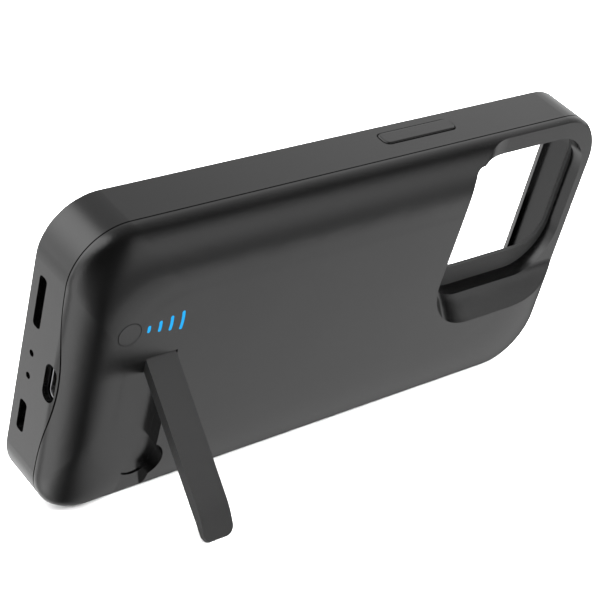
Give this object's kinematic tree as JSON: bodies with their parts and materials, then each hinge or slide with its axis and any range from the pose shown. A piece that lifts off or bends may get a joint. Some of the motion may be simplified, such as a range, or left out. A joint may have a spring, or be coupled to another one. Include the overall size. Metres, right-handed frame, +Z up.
{
  "type": "battery charging case",
  "caption": "Slim black phone case with a built-in battery, a plug for the phone, a camera window and a fold-out leg that props it up on its long side.",
  "frame": {"origin": "centre of the footprint, on the surface that the case stands on", "axes": "+X from the port end to the camera end along the case, -Y the way the back and the leg face, +Z up"},
  "size_m": [0.1533, 0.0506, 0.075],
  "materials": {
    "case_plastic": "fine matt moulded plastic, near black",
    "cover_plastic": "satin soft-touch moulded plastic, near black",
    "tray_plastic": "matt moulded plastic, black",
    "stand_plastic": "satin moulded plastic, near black",
    "cell_foil": "dull pouch foil",
    "foam_tape": "black foam tape",
    "nickel": "plain nickel strip",
    "board_green": "green solder mask",
    "screw_steel": "plain steel",
    "plug_steel": "bright drawn steel",
    "contact_black": "black contact moulding",
    "flex_film": "amber film",
    "chip_black": "moulded chip package",
    "capacitor_tan": "fired ceramic",
    "lamp_white": "clear lamp on a white base",
    "light_blue": "clear moulding lit blue"
  },
  "bodies": {
    "case": {"bumper_frame": "case_plastic", "back_cover": "cover_plastic", "phone_tray": "tray_plastic", "battery_cell": "cell_foil", "battery_pad": "foam_tape", "battery_leads": "nickel", "control_board": "board_green", "board_screws": "screw_steel", "inlet_shell": "plug_steel", "inlet_tongue": "contact_black", "plug_board": "board_green", "plug_holder": "tray_plastic", "phone_plug": "plug_steel", "flex_cable": "flex_film", "charge_chip": "chip_black", "boost_coil": "chip_black", "board_capacitors": "capacitor_tan", "indicator_leds": "lamp_white", "light_guide": "light_blue", "switch_body": "screw_steel", "hinge_pin": "screw_steel"},
    "kickstand": {"kickstand_leg": "stand_plastic"},
    "check_button": {"check_button": "cover_plastic", "switch_plunger": "contact_black"},
    "power_key": {"power_key": "case_plastic"},
    "volume_up_key": {"volume_up_key": "case_plastic"},
    "volume_down_key": {"volume_down_key": "case_plastic"}
  },
  "joints": [
    {"name": "kickstand_hinge", "type": "hinge", "parent": "case", "child": "kickstand", "pos_m": [-0.05325, -0.0074, 0.03706], "axis": [1, 0, 0], "range_deg": [0, 51]},
    {"name": "check_button_press", "type": "slide", "parent": "case", "child": "check_button", "axis": [0, 0.911, 0.4124], "range_m": [0, 0.0003], "stiffness_N_per_m": 2000},
    {"name": "power_key_press", "type": "slide", "parent": "case", "child": "power_key", "axis": [0, 0.4124, -0.911], "range_m": [0, 0.0003], "stiffness_N_per_m": 2000},
    {"name": "volume_up_press", "type": "slide", "parent": "case", "child": "volume_up_key", "axis": [0, -0.4124, 0.911], "range_m": [0, 0.0003], "stiffness_N_per_m": 2000},
    {"name": "volume_down_press", "type": "slide", "parent": "case", "child": "volume_down_key", "axis": [0, -0.4124, 0.911], "range_m": [0, 0.0003], "stiffness_N_per_m": 2000}
  ]
}
